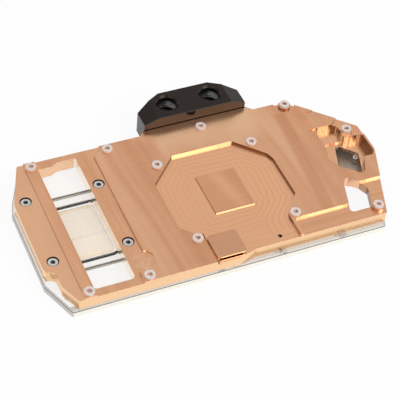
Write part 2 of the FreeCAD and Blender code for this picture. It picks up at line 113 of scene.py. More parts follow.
class Sock:
    """A shader socket whose arithmetic adds Math nodes."""

    def __init__(self, graph: Graph, out: bpy.types.NodeSocket) -> None:
        """Wraps one output.

        Args:
            graph: The graph that the node belongs to.
            out: The output socket.
        """
        self.graph = graph
        self.out = out

    def _math(self, operation: str, first: Any, second: Any = None) -> Sock:
        """Adds one Math node and returns its result."""
        values = {0: first} if second is None else {0: first, 1: second}
        return self.graph.node("ShaderNodeMath", {"operation": operation}, values)

    def __add__(self, other: Any) -> Sock:
        """Sum."""
        return self._math("ADD", self, other)

    def __radd__(self, other: Any) -> Sock:
        """Sum, reflected."""
        return self._math("ADD", other, self)

    def __sub__(self, other: Any) -> Sock:
        """Difference."""
        return self._math("SUBTRACT", self, other)

    def __rsub__(self, other: Any) -> Sock:
        """Difference, reflected."""
        return self._math("SUBTRACT", other, self)

    def __mul__(self, other: Any) -> Sock:
        """Product."""
        return self._math("MULTIPLY", self, other)

    def __rmul__(self, other: Any) -> Sock:
        """Product, reflected."""
        return self._math("MULTIPLY", other, self)

    def __truediv__(self, other: Any) -> Sock:
        """Quotient."""
        return self._math("DIVIDE", self, other)

    def __rtruediv__(self, other: Any) -> Sock:
        """Quotient, reflected."""
        return self._math("DIVIDE", other, self)

    def __abs__(self) -> Sock:
        """Size without sign."""
        return self._math("ABSOLUTE", self)

    def above(self, limit: Any) -> Sock:
        """1 where the value is over a limit, else 0."""
        return self._math("GREATER_THAN", self, limit)

    def below(self, limit: Any) -> Sock:
        """1 where the value is under a limit, else 0."""
        return self._math("LESS_THAN", self, limit)

    def largest(self, other: Any) -> Sock:
        """The larger of two values."""
        return self._math("MAXIMUM", self, other)

    def smallest(self, other: Any) -> Sock:
        """The smaller of two values."""
        return self._math("MINIMUM", self, other)

    def sine(self) -> Sock:
        """Sine."""
        return self._math("SINE", self)

    def root(self) -> Sock:
        """Square root."""
        return self._math("SQRT", self)

    def clamped(self) -> Sock:
        """The value held between 0 and 1."""
        return self.largest(0.0).smallest(1.0)

    def ramp(self, start: Number, end: Number) -> Sock:
        """0 before start, 1 after end, and a straight line between them."""
        return ((self - start) / (end - start)).clamped()

    def near(self, place: Number, reach: Number) -> Sock:
        """1 at a place, falling straight to 0 at a reach from it."""
        return (1.0 - abs(self - place) / reach).clamped()


class Graph:
    """The shader nodes of one material, or of the world."""

    def __init__(self, name: str, owner: Any = None) -> None:
        """Empties the node tree.

        Args:
            name: The name of the material to make.
            owner: The world, or nothing for a new material.
        """
        self.owner = owner or bpy.data.materials.new(name)
        self.owner.use_nodes = True
        self.tree = self.owner.node_tree
        self.tree.nodes.clear()

    def node(self, kind: str, settings: dict[str, Any], values: dict[Any, Any], out: Any = 0) -> Sock:
        """Adds a node.

        Args:
            kind: The node's type.
            settings: Its own properties or a ramp's stops, set first.
            values: The values or links of its sockets, by name or index.
            out: The output to return, by name or index.

        Returns:
            The wrapped output.
        """
        made = self.tree.nodes.new(kind)
        for name, value in settings.items():
            if name == "stops":
                self.fill(made.color_ramp, value)
            else:
                setattr(made, name, value)
        for key, value in values.items():
            if isinstance(value, Sock):
                self.tree.links.new(value.out, made.inputs[key])
            else:
                made.inputs[key].default_value = value
        return Sock(self, made.outputs[out] if len(made.outputs) else None)

    def fill(self, ramp: bpy.types.ColorRamp, stops: Sequence[tuple[float, Colour]]) -> None:
        """Replaces a ramp's stops.

        Args:
            ramp: The ramp of a node.
            stops: Places and colours, in order.
        """
        while len(ramp.elements) > 1:
            ramp.elements.remove(ramp.elements[0])
        for i, (place, colour) in enumerate(stops):
            stop = ramp.elements.new(place) if i else ramp.elements[0]
            stop.position = place
            stop.color = (*colour, 1.0)

    def parts(self, vector: Sock) -> tuple[Sock, Sock, Sock]:
        """The three values of a vector."""
        outputs = self.node("ShaderNodeSeparateXYZ", {}, {0: vector}).out.node.outputs
        return Sock(self, outputs[0]), Sock(self, outputs[1]), Sock(self, outputs[2])

    def point(self) -> Sock:
        """Object coordinates, in metres."""
        return self.node("ShaderNodeTexCoord", {}, {}, "Object")

    def place(self) -> tuple[Sock, Sock, Sock]:
        """Object coordinates as three values, in metres."""
        return self.parts(self.point())

    def facing(self) -> tuple[Sock, Sock, Sock]:
        """The true normal's three values."""
        return self.parts(self.node("ShaderNodeNewGeometry", {}, {}, "True Normal"))

    def vector(self, x: Any, y: Any, z: Any) -> Sock:
        """A vector of three values."""
        return self.node("ShaderNodeCombineXYZ", {}, {0: x, 1: y, 2: z})

    def noise(self, scale: Number, detail: Number = 3.0, where: Sock | None = None) -> Sock:
        """Noise around 0.5.

        Args:
            scale: Waves in a metre.
            detail: Octaves.
            where: The coordinates, or nothing for the object's own.

        Returns:
            The noise value.
        """
        values = {"Vector": where or self.point(), "Scale": scale, "Detail": detail}
        return self.node("ShaderNodeTexNoise", {}, values, "Fac")

    def pick(self, factor: Sock, first: Any, second: Any) -> Sock:
        """Straight mix of two values: the first where the factor is 0, the second where it is 1."""
        return first + (second - first) * factor

    def mix(self, factor: Any, first: Any, second: Any) -> Sock:
        """Mix of two colours: the first where the factor is 0, the second where it is 1."""
        first, second = (end if isinstance(end, Sock) else (*end, 1.0) for end in (first, second))
        return self.node("ShaderNodeMix", {"data_type": "RGBA"}, {0: factor, 6: first, 7: second}, 2)

    def layers(self, base: Any, coats: Sequence[tuple[Any, Any]]) -> Any:
        """Colours laid over a base.

        Args:
            base: The colour below them.
            coats: How much each coat covers, and its colour, from the lowest coat up.

        Returns:
            The colour on top.
        """
        for cover, colour in coats:
            base = self.mix(cover, base, colour)
        return base

    def bump(self, height: Sock, strength: Number, distance: Number, edge: Number = 0.0) -> Sock:
        """Bumped normal.

        Args:
            height: The height map.
            strength: How much of it shows.
            distance: Its depth in metres.
            edge: Radius of the softened edges, in metres.

        Returns:
            The normal.
        """
        values: dict[Any, Any] = {"Strength": strength, "Distance": distance, "Height": height}
        if edge > 0:
            values["Normal"] = self.node("ShaderNodeBevel", {"samples": 4}, {"Radius": edge})
        return self.node("ShaderNodeBump", {}, values)

    def surface(self, values: dict[str, Any]) -> bpy.types.Material:
        """Ends the material in one Principled shader.

        Args:
            values: Values or links of the shader's sockets, by name.

        Returns:
            The material.
        """
        shader = self.node("ShaderNodeBsdfPrincipled", {}, values)
        self.node("ShaderNodeOutputMaterial", {}, {"Surface": shader})
        return self.owner


def length(dx: Sock, dy: Sock) -> Sock:
    """Length in plan of a step of two parts."""
    return (dx * dx + dy * dy).root()


def from_window_screws(x: Sock, y: Sock) -> Sock:
    """Measures how far the nearest of the four screws beside the window is in plan.

    Args:
        x: Place along the block.
        y: Place across the block.

    Returns:
        The distance in metres.
    """
    offs = [abs(at - middle * MM) - pitch / 2 * MM
            for at, middle, pitch in zip((x, y), WINDOW_CENTRE, WINDOW_SCREW_PITCH)]
    return length(*offs)


def lines_at(value: Sock, pitch: float, width: float) -> Sock:
    """Soft lines at a pitch.

    Args:
        value: The distance across the lines.
        pitch: Metres from line to line.
        width: Share of the wave that counts as line.

    Returns:
        1 on the lines, 0 between them.
    """
    return (value * (math.tau / pitch)).sine().ramp(1.0 - width, 1.0)


@dataclass(frozen=True)
class MilledCopper:
    """Bare copper, fly-cut on top and end-milled in its recesses, with painted light and shade on its walls, seats and
    hollows.
    """

    top: Colour = (0.86, 0.425, 0.235)
    bright: Colour = (1.0, 0.60, 0.37)
    dull: Colour = (0.70, 0.32, 0.165)
    floor: Colour = (0.98, 0.53, 0.30)
    far: Colour = (1.0, 0.62, 0.375)
    square_pad: Colour = (0.76, 0.40, 0.24)
    # painted shade: the line where the terminal meets the deck, the screw seats and the tapped hole
    painted_shade: Colour = (0.06, 0.03, 0.02)
    outer_wall: Colour = (0.97, 0.635, 0.37)
    # painted light on walls that face the near side, then painted shade for walls in the recess and on the steps
    painted_light_tone: Colour = (0.97, 0.79, 0.58)
    painted_recess_shade: Colour = (0.19, 0.085, 0.04)
    painted_step_shade: Colour = (0.52, 0.27, 0.15)
    # painted shade on the small walls of the ledge at the right end
    painted_ledge_shade: Colour = (0.30, 0.16, 0.10)
    # painted light on the window's right inner wall
    painted_window_right_light: Colour = (1.0, 0.88, 0.76)
    window_far_wall: Colour = (0.92, 0.60, 0.385)
    # painted shade and painted light on the lower opening's walls
    painted_opening_shade: Colour = (0.26, 0.12, 0.06)
    painted_opening_light: Colour = (1.0, 0.59, 0.38)
    # painted light on the square pad's walls, and painted shade at their foot and in the moat
    painted_pad_light: Colour = (1.0, 0.76, 0.56)
    painted_pad_left_light: Colour = (1.0, 0.80, 0.62)
    painted_foot_shade: Colour = (0.10, 0.055, 0.035)
    # painted shade, painted light and painted glints on the pocket's fluted walls
    painted_flute_shade: Colour = (0.22, 0.13, 0.08)
    painted_flute_light: Colour = (0.50, 0.39, 0.29)
    painted_flute_glint: Colour = (1.0, 0.92, 0.76)
    recess_half: tuple[float, float] = (35.8 * MM, 33.6 * MM)
    recess_corner: float = 36.8 * MM
    band_pitch: float = 15.0 * MM
    cutter: float = 20.4 * MM
    cutter_bow: float = 1.6
    lane_edges: tuple[float, float] = (-23.7 * MM, 24.6 * MM)
    lane_end: float = 34.3 * MM
    mark_pitch: float = 0.8 * MM
    ring_pitch: float = 3.0 * MM
    row_pitch: float = 4.1 * MM
    swerve_pitch: float = 3.7 * MM
    arc_pitch: float = 1.3 * MM
    arc_centre_y: float = -42.0 * MM
    # height of a painted dark line across the lit recess walls
    dark_line_z: float = 11.75 * MM
    head_seat: float = 3.36 * MM
    bay_hole: Triple = (14.4 * MM, -40.6 * MM, 1.4 * MM)
    left_strip: float = -94.2 * MM
    left_slope: float = -99.5 * MM
    # place of a painted highlight along the left rim
    left_rim: float = -99.95 * MM
    outer_sides: Triple = (-99.8 * MM, -43.9 * MM, 53.0 * MM)
    right_end: float = 46.0 * MM
    streak: tuple[float, ...] = (46.6 * MM, 48.6 * MM, 53.8 * MM, 55.8 * MM)
    streak_lean: float = 0.088

    def build(self) -> bpy.types.Material:
        """Makes the material."""
        return CopperShader(self).material()


class CopperShader:
    """Nodes of the milled copper: masks of its faces and marks of its cutters first, then tones and relief."""

    def __init__(self, look: MilledCopper) -> None:
        """Makes the masks and marks that several methods read.

        Args:
            look: The copper's colours and measures.
        """
        self.look = look
        self.g = Graph("milled_copper")
        self.x, self.y, self.z = self.g.place()
        nx, ny, up = self.g.facing()
        self.leftward, self.nearward = 0.0 - nx, 0.0 - ny
        self.flat = abs(up).ramp(0.6, 0.9)
        self.top = Level.TOP.passed(self.z)
        self.low = 1.0 - Level.FLOOR.passed(self.z)
        self.step = 1.0 - self.top.largest(self.low)
        self.deck = self.top.largest(self.step)
        self.die_pad = self.within(Zone.DIE_PAD) * (1.0 - self.top)
        self.square_pad = self.within(Zone.SQUARE_PAD) * Level.PAD.passed(self.z)
        self.floor = self.low * (1.0 - self.die_pad)
        self.cloud = self.g.noise(30.0, 4.0)
        self.marks, self.lane, self.rim = self.fly_cut()
        self.bands, self.strips = self.streaks()
        self.grain = self.fine_lines()
        self.passes = self.tool_paths()
        self.arcs = self.die_arcs()
        self.flutes = self.g.noise(1.0, 1.0, self.g.vector(self.x * 230.0, self.y * 230.0, 0.0))

    def within(self, zone: Zone) -> Sock:
        """1 inside a box of the plan, else 0."""
        left, right, near, far = (edge * MM for edge in zone.value)
        return self.x.above(left) * self.x.below(right) * self.y.above(near) * self.y.below(far)

    def fly_cut(self) -> tuple[Sock, Sock, Sock]:
        """Cutter marks of the top and where the cutter's left lane lies.

        Returns:
            The height of the marks, 1 inside the left lane, and 1 on that lane's round end.
        """
        g, x, y, look = self.g, self.x, self.y, self.look
        left, middle, right = (lane.value * MM for lane in Lane)
        first, second = (x.above(edge) for edge in look.lane_edges)
        off = x - g.pick(second, g.pick(first, left, middle), right)
        bow = (look.cutter * look.cutter * look.cutter_bow - off * off).largest(0.0).root()
        marks = ((y + bow) / look.mark_pitch * math.tau).sine()
        reach = length(x - left, (y - look.lane_end).largest(0.0)) - look.cutter
        return marks, reach.ramp(0.25 * MM, -0.25 * MM), reach.near(0.0, 0.45 * MM) * y.above(30 * MM)

    def streaks(self) -> tuple[Sock, Sock]:
        """Brightness that changes from one pass of the cutter to the next.

        Returns:
            Broad bands and narrow strips.
        """
        g, x, y, pitch = self.g, self.x, self.y, self.look.band_pitch
        right_strip = x.above(25.5 * MM) * y.below(-19.0 * MM) * (1.0 - self.top)
        bend = x + y * 0.07 + (g.noise(16.0, 1.0) - 0.5) * 4 * MM
        run = g.pick(right_strip, bend, y * 1.6)
        bands = g.noise(1.0, 1.0, g.vector(run / pitch, self.lane * 3.0, 0.3)).ramp(0.34, 0.66)
        strips = g.noise(1.0, 1.0, g.vector(run / (0.24 * pitch), y * 5.0, 2.7)).ramp(0.25, 0.75)
        return bands, strips

    def fine_lines(self) -> Sock:
        """Fine lines of the cutters: across the block left of the recess, along it elsewhere.

        Returns:
            Noise around 0.5.
        """
        g, height = self.g, self.z * 300.0
        along = g.noise(1.0, 2.0, g.vector(self.x * 70.0, self.y * 1700.0, height))
        across = g.noise(1.0, 2.0, g.vector(self.x * 1700.0, self.y * 70.0, height))
        return g.pick(self.x.below(-50.0 * MM), along, across)

    def tool_paths(self) -> Sock:
        """Lines between the end mill's passes over the recess and the bay.

        Returns:
            1 on the lines, 0 off them.
        """
        g, x, y, look = self.g, self.x, self.y, self.look
        bay = self.within(Zone.BAY)
        drift = (g.noise(22.0, 1.0) - 0.5) * 5.0 * MM
        corner = (abs(x) + abs(y)) * math.sqrt(0.5) - look.recess_corner
        octagon = (abs(x) - look.recess_half[0]).largest(abs(y) - look.recess_half[1]).largest(corner)
        boxed = (abs(x + 0.4 * MM) - 11.6 * MM).largest(abs(y + 0.1 * MM) - 14.5 * MM)
        rings = g.pick(boxed.below(7.5 * MM), octagon + drift, boxed + drift * 0.3)
        slope = y.ramp(-31 * MM, -12 * MM)
        swerve = x - 14 * MM - slope * slope * (3.0 - slope * 2.0) * (13 * MM)
        lines = lines_at(rings, look.ring_pitch, 0.8) * (1.0 - bay)
        lines += lines_at(y + drift * 1.4, look.row_pitch, 0.6) * bay * 0.6
        lines = g.pick(self.within(Zone.BAY_RIGHT), lines, lines_at(swerve, look.swerve_pitch, 0.45) * 1.5)
        return lines * self.floor * (1.0 - self.square_pad) * g.noise(45.0, 1.0).ramp(0.15, 0.55)

    def die_arcs(self) -> Sock:
        """Waves of the fly cutter over the die pad, from -1 to 1."""
        run = length(self.x, self.y - self.look.arc_centre_y)
        return (run * (math.tau / self.look.arc_pitch) + self.cloud * 3.0).sine()

    def deck_tone(self) -> Sock:
        """Colour of the fly-cut top and of the first step below it.

        Returns:
            The colour, which counts on those faces alone.
        """
        g, x, y, look = self.g, self.x, self.y, self.look
        start, full, thin, end = look.streak
        lean = x - y * look.streak_lean
        streak = lean.ramp(start, full) * lean.ramp(end, thin) * y.below(46 * MM) * self.top
        shade = self.lane * x.ramp(-56 * MM, -30 * MM) * 0.42 + self.rim * 0.45 + streak * 0.6
        far_middle = y.ramp(28 * MM, 44 * MM) * x.ramp(-25 * MM, -21 * MM) * x.ramp(46 * MM, 36 * MM)
        # swirl marks of the patch, drawn in the painted light tone
        swirl = g.noise(210.0, 2.0).near(0.5, 0.06) * self.within(Zone.PATCH) * (1.0 - Level.PATCH.passed(self.z))
        return g.layers(look.top, (
            (self.bands * self.deck, look.bright),
            ((1.0 - self.strips) * (0.46 + self.step * 0.2) * self.deck, look.dull),
            (shade.smallest(0.8) * self.top, look.dull),
            (far_middle * self.top, look.far),
            (x.below(look.left_strip) * self.top * 0.5, look.floor),
            (x.below(look.left_slope) * 0.8, look.bright),
            (swirl * 0.6, look.painted_light_tone),
            # painted highlight along the left rim
            (x.near(look.left_rim, 0.4 * MM), look.painted_light_tone)))

    def flat_tone(self) -> Sock:
        """Colour of all flat faces.

        Returns:
            The colour, which counts on flat faces alone.
        """
        g, x, y, look = self.g, self.x, self.y, self.look
        # painted sheen: a soft lighter band across the die pad
        glow = (x + y * 0.25).near(2.0 * MM, 6.0 * MM) * self.die_pad
        # cutter arcs on the die pad, plus painted shade that darkens its right side
        arcs_and_painted_shade = self.die_pad * (self.arcs.clamped() * 0.14 + x.ramp(4 * MM, 11 * MM) * 0.3)
        # painted shade in the narrow moat by the square pad
        moat = self.within(Zone.NEAR_MOAT) * Level.MOAT.missed(self.z)
        return g.layers(self.deck_tone(), (
            (self.step * 0.35, look.floor),
            (self.floor, look.floor),
            (self.die_pad * 0.9, look.top),
            (glow * 0.9, look.floor),
            (arcs_and_painted_shade, look.dull),
            (self.square_pad * 0.9, look.square_pad),
            (self.cloud.ramp(0.35, 0.7) * 0.22 * self.deck, look.dull),
            (self.passes * 0.26, look.dull),
            (self.grain.ramp(0.45, 0.8) * (0.06 + self.deck * 0.16), look.bright),
            # painted shade where the terminal meets the deck
            (y.above(TERMINAL_FRONT_Y - 0.5 * MM) * self.top, look.painted_shade),
            (moat * 0.85, look.painted_foot_shade)))

    def wall_tone(self) -> Sock:
        """Colour of the upright faces: painted light where they face the near side, painted shade elsewhere.

        Returns:
            The colour, which counts on upright faces alone.
        """
        g, x, y, z, look = self.g, self.x, self.y, self.z, self.look
        # painted light: how far a wall faces the near side
        lit = self.nearward.ramp(0.78, 0.98)
        recess = self.within(Zone.RECESS)
        # painted shade: a dark line across the lit recess walls, in the painted step shade
        painted_dark_line = z.near(look.dark_line_z, 0.30 * MM) * recess * lit
        # painted shade and light on the flutes, lighter where they face the near side, with painted glint lines
        painted_flutes = g.layers(look.painted_flute_shade, (
            ((self.flutes.ramp(0.42, 0.56) + lit * 0.3 - 0.15).clamped(), look.painted_flute_light),
            (self.flutes.near(0.56, 0.025), look.painted_flute_glint)))
        # painted light on walls of the lower opening that face the near side, painted shade on the rest
        painted_opening = g.mix(self.nearward.ramp(0.3, 0.8), look.painted_opening_shade, look.painted_opening_light)
        # where the ledge walls at the right end get painted shade
        right_end = x.above(look.right_end)
        ledge = (right_end * y.above(20 * MM) * Level.RIM.passed(z)).largest(right_end * y.above(41 * MM))
        left, near, far = look.outer_sides
        outer = y.below(near).largest(x.below(left)).largest(y.above(far))
        # painted light on the square pad's walls, lighter still facing left, with painted shade at their foot
        square_pad = g.layers(look.painted_pad_light, (
            (z.ramp(11.9 * MM, 11.7 * MM), look.painted_foot_shade),
            (self.leftward.ramp(0.4, 0.8), look.painted_pad_left_light)))
        # painted shade as the base, with painted light and the other painted wall tones laid over it
        return g.layers(look.painted_step_shade, (
            (recess, look.painted_recess_shade),
            (lit, look.painted_light_tone),
            (painted_dark_line * 0.75, look.painted_step_shade),
            (self.within(Zone.POCKET), painted_flutes),
            (self.within(Zone.LOWER_OPENING), painted_opening),
            (ledge, look.painted_ledge_shade),
            (outer, look.outer_wall),
            # painted light on the window's right inner wall
            (self.within(Zone.WINDOW_RIGHT_WALL), look.painted_window_right_light),
            (self.within(Zone.WINDOW_FAR_WALL), look.window_far_wall),
            (self.within(Zone.SQUARE_PAD_WALLS), square_pad)))

    def holes(self) -> Sock:
        """Finds the seats of the screws beside the window and the bay's tapped hole, where painted shade goes.

        Returns:
            1 in them, 0 elsewhere.
        """
        x, y, radius = self.look.bay_hole
        tapped = length(self.x - x, self.y - y).below(radius) * Level.BAY.missed(self.z)
        return from_window_screws(self.x, self.y).below(self.look.head_seat).largest(tapped)

    def material(self) -> bpy.types.Material:
        """Joins the tones and the relief in one shader.

        Returns:
            The material.
        """
        g, look, upright = self.g, self.look, 1.0 - self.flat
        # painted glints in the painted shade of the tapped hole
        painted_glints = g.noise(900.0, 1.0).ramp(0.58, 0.64) * Level.BAY.missed(self.z)
        colour = g.layers(self.wall_tone(), (
            (self.flat, self.flat_tone()),
            (self.holes(), g.mix(painted_glints, look.painted_shade, look.painted_light_tone))))
        rough = (0.25 + (self.cloud - 0.5) * 0.12 + self.bands * 0.08 + self.passes * 0.05 - self.low * 0.02
                 - upright * 0.06 - self.y.ramp(44 * MM, 52 * MM) * self.top * 0.03)
        relief = (self.marks * 0.12 * self.top + self.bands * 0.5 + self.grain * (0.12 + self.deck * 0.4)
                  - self.passes * 0.9 + self.cloud * 0.3 + self.arcs * 0.16 * self.die_pad)
        height = relief * self.flat + self.flutes * self.within(Zone.POCKET) * 0.8 * upright
        return g.surface({"Base Color": colour, "Metallic": 1.0, "Roughness": rough.clamped(),
                          "Normal": g.bump(height, 0.20, 0.10 * MM, 0.22 * MM)})


@dataclass(frozen=True)
class ClearAcrylic:
    """Clear cover stock: polished faces, milled edges with a faint haze, and painted shade on its left side, slanted
    faces and below the bevel.
    """

    body: Colour = (1.0, 0.88, 0.68)
    milled: Colour = (0.90, 0.86, 0.75)
    # painted shade: left side and slanted faces greyer, a dark line below the bevel; the left-side grey also draws the
    # milling lines
    left_shade_and_lines: Colour = (0.46, 0.43, 0.39)
    painted_slant_shade: Colour = (0.50, 0.46, 0.42)
    painted_dark_line: Colour = (0.07, 0.055, 0.045)
    haze: float = 0.05
    face_alpha: float = 0.07
    edge_alpha: float = 0.80
    bevel_z: float = 3.7 * MM
    lip_rise: float = 0.7 * MM
    lip_y: float = -44.4 * MM
    screw_xs: tuple[float, ...] = (-22.3 * MM, 14.4 * MM, 51.0 * MM)

    def screws_seen(self, g: Graph, x: Sock) -> Sock:
        """Dark shapes of the near cover screws, as they show through the edge.

        Args:
            g: The material's graph.
            x: Place along the block.

        Returns:
            1 over the screws, 0 between them.
        """
        off = abs(x - self.screw_xs[0])
        for screw_x in self.screw_xs[1:]:
            off = off.smallest(abs(x - screw_x))
        return off.ramp(2.8 * MM, 1.2 * MM) * g.noise(700.0, 1.0).ramp(0.35, 0.6)

    def build(self) -> bpy.types.Material:
        """Makes the material.

        Returns:
            The material.
        """
        g = Graph("clear_acrylic")
        x, y, z = g.place()
        nx, _, up = g.facing()
        lip = z.above(self.bevel_z + self.lip_rise) * y.below(self.lip_y)
        edge = (1.0 - abs(up).ramp(0.8, 0.95)).largest(lip)
        lines = g.noise(1.0, 2.0, g.vector(0.0, 0.0, z * 5200.0))
        # painted shade: a dark line just below the bevel
        painted_dark_line = (1.0 - abs(z - self.bevel_z + 0.25 * MM).ramp(0.22 * MM, 0.48 * MM)) * edge
        screws = self.screws_seen(g, x) * z.above(self.bevel_z) * y.below(-43 * MM) * edge
        colour = g.layers(self.body, (
            (edge, self.milled),
            # painted shade on faces that face left, and milling lines in the same grey
            ((0.0 - nx).ramp(0.3, 0.8) * edge, self.left_shade_and_lines),
            (lines.ramp(0.5, 0.75) * edge * 0.25, self.left_shade_and_lines),
            (edge * abs(up).ramp(0.2, 0.4) * 0.85, self.painted_slant_shade),
            (painted_dark_line * 0.9, self.painted_dark_line),
            (screws * 0.75, self.painted_dark_line)))
        seen = self.face_alpha + edge * (self.edge_alpha - self.face_alpha) + painted_dark_line * 0.15
        return g.surface({"Base Color": colour, "Roughness": self.haze + edge * 0.25, "IOR": 1.49,
                          "Alpha": seen.clamped(), "Normal": g.bump(lines * edge, 0.03, 0.02 * MM)})


@dataclass(frozen=True)
class GlossBlack:
    """Polished black of the terminal, with faint cutter lines and a painted highlight along its top front edge."""

    tint: Colour = (0.006, 0.005, 0.0045)
    worn: Colour = (0.013, 0.011, 0.009)
    painted_edge_highlight: Colour = (0.06, 0.058, 0.055)

    def build(self) -> bpy.types.Material:
        """Makes the material.

        Returns:
            The material.
        """
        g = Graph("gloss_black")
        _, y, _ = g.place()
        _, _, up = g.facing()
        cloud, fine = g.noise(120.0, 3.0), g.noise(2400.0, 2.0)
        upright = 1.0 - abs(up).ramp(0.3, 0.8)
        # painted highlight along the top front edge
        painted_edge_highlight = y.below(TERMINAL_FRONT_Y + 0.35 * MM) * up.above(0.5)
        colour = g.layers(self.tint, ((cloud * 0.4, self.worn), (painted_edge_highlight, self.painted_edge_highlight)))
        normal = g.bump(fine * (1.0 - upright) + cloud * 0.6, 0.05, 0.04 * MM, 0.25 * MM)
        return g.surface({"Base Color": colour, "Roughness": 0.17 - upright * 0.10 + cloud * 0.06,
                          "Specular IOR Level": 0.33, "Specular Tint": (1.0, 0.73, 0.62, 1.0), "Normal": normal})


@dataclass(frozen=True)
class ThreadBlack:
    """Cut thread in the black terminal: black flanks, with a painted highlight that makes the crests to the right
    bright.
    """

    flank: Colour = (0.004, 0.0035, 0.0035)
    painted_crest_glint: Colour = (0.75, 0.73, 0.70)
    middle_x: float = 6.2 * MM
    half_pitch: float = 13.5 * MM
    port_y: float = 68.7 * MM
    crest: float = 5.42 * MM

    def build(self) -> bpy.types.Material:
        """Makes the material.

        Returns:
            The material.
        """
        g = Graph("thread_black")
        x, y, _ = g.place()
        nx, _, up = g.facing()
        cloud = g.noise(300.0, 2.0)
        radius = length(abs(x - self.middle_x) - self.half_pitch, y - self.port_y)
        crest = radius.ramp(self.crest + 0.06 * MM, self.crest - 0.06 * MM)
        # painted highlight on the crests, strongest where they face -x
        painted_crest_glint = crest * up.above(0.0) * (0.08 + (0.0 - nx).ramp(0.1, 0.6))
        return g.surface({"Base Color": g.mix(painted_crest_glint.clamped(), self.flank, self.painted_crest_glint),
                          "Roughness": 0.34 + cloud * 0.1, "Specular IOR Level": 0.2,
                          "Normal": g.bump(cloud, 0.05, 0.03 * MM)})


@dataclass(frozen=True)
class ThreadCopper:
    """Cut thread in the board's screw holes, brightened with painted light and a faint painted glow."""

    # pale tints and a faint glow: painted light in the holes
    tints: tuple[Colour, Colour] = ((1.0, 0.72, 0.52), (1.0, 0.80, 0.62))
    glow: float = 0.14

    def build(self) -> bpy.types.Material:
        """Makes the material.

        Returns:
            The material.
        """
        g = Graph("thread_copper")
        cloud = g.noise(400.0, 2.0)
        colour = g.mix(cloud, *self.tints)
        # faint painted glow, though the thread is no lamp
        return g.surface({"Base Color": colour, "Metallic": 1.0, "Roughness": 0.34 + cloud * 0.1,
                          "Emission Color": colour, "Emission Strength": self.glow,
                          "Normal": g.bump(cloud, 0.05, 0.02 * MM)})


@dataclass(frozen=True)
class WhiteNylon:
    """Washer nylon, with a painted pink tint that stands for light from the copper below."""

    # pinkish white: painted light from the copper below
    tints: tuple[Colour, Colour] = ((0.95, 0.84, 0.80), (0.92, 0.76, 0.71))

    def build(self) -> bpy.types.Material:
        """Makes the material.

        Returns:
            The material.
        """
        g = Graph("white_nylon")
        cloud = g.noise(500.0, 2.0)
        return g.surface({"Base Color": g.mix(cloud * 0.5, *self.tints), "Roughness": 0.38,
                          "Transmission Weight": 0.25, "IOR": 1.5,
                          "Normal": g.bump(cloud, 0.1, 0.03 * MM, 0.15 * MM)})


@dataclass(frozen=True)
class StainlessSteel:
    """Turned and rolled stainless steel of screws and jet plate, with painted shade in the sockets beside the window.
    """

    tints: tuple[Colour, Colour] = ((0.66, 0.65, 0.63), (0.90, 0.89, 0.87))
    painted_socket_shade: Colour = (0.05, 0.05, 0.05)
    socket_z: tuple[float, float] = (9.0 * MM, 10.95 * MM)
    socket_radius: float = 1.7 * MM

    def build(self) -> bpy.types.Material:
        """Makes the material.

        Returns:
            The material.
        """
        g = Graph("stainless_steel")
        x, y, z = g.place()
        fine, cloud = g.noise(1800.0, 3.0), g.noise(160.0, 2.0)
        # painted shade in the screw sockets beside the window
        socket = z.above(self.socket_z[0]) * z.below(self.socket_z[1])
        socket = socket * from_window_screws(x, y).below(self.socket_radius)
        colour = g.mix(socket * 0.85, g.mix(cloud, *self.tints), self.painted_socket_shade)
        return g.surface({"Base Color": colour, "Metallic": 1.0, "Roughness": 0.24 + fine * 0.14,
                          "Normal": g.bump(fine, 0.12, 0.03 * MM, 0.12 * MM)})


@dataclass(frozen=True)
class CordRubber:
    """Black rubber cord of the seals."""

    tints: tuple[Colour, Colour] = ((0.012, 0.012, 0.012), (0.03, 0.03, 0.03))

    def build(self) -> bpy.types.Material:
        """Makes the material.

        Returns:
            The material.
        """
        g = Graph("cord_rubber")
        fine = g.noise(1500.0, 2.0)
        return g.surface({"Base Color": g.mix(fine, *self.tints), "Roughness": 0.5 + fine * 0.1,
                          "Normal": g.bump(fine, 0.1, 0.03 * MM)})


@dataclass(frozen=True)
class CreamSheet:
    """Pale sheet below the window, greyed by painted shade towards the far side, with a faint painted glow and one
    faint line across it.
    """

    # near and far tones: painted shade greys the far side; glow is a faint painted glow
    near: Colour = (1.0, 0.89, 0.73)
    far: Colour = (0.90, 0.80, 0.66)
    line: Colour = (0.45, 0.44, 0.43)
    line_y: float = 1.5 * MM
    glow: float = 0.28

    def build(self) -> bpy.types.Material:
        """Makes the material.

        Returns:
            The material.
        """
        g = Graph("cream_sheet")
        _, y, _ = g.place()
        cloud = g.noise(90.0, 2.0)
        line = 1.0 - abs(y - self.line_y).ramp(0.15 * MM, 0.5 * MM)
        # painted shade towards the far side
        tone = g.mix(y.ramp(-10 * MM, 20 * MM), self.near, self.far)
        colour = g.mix(line * 0.35 + cloud * 0.1, tone, self.line)
        # faint painted glow, though the sheet is no lamp
        return g.surface({"Base Color": colour, "Roughness": 0.45, "Emission Color": colour,
                          "Emission Strength": self.glow, "Normal": g.bump(cloud, 0.05, 0.05 * MM)})


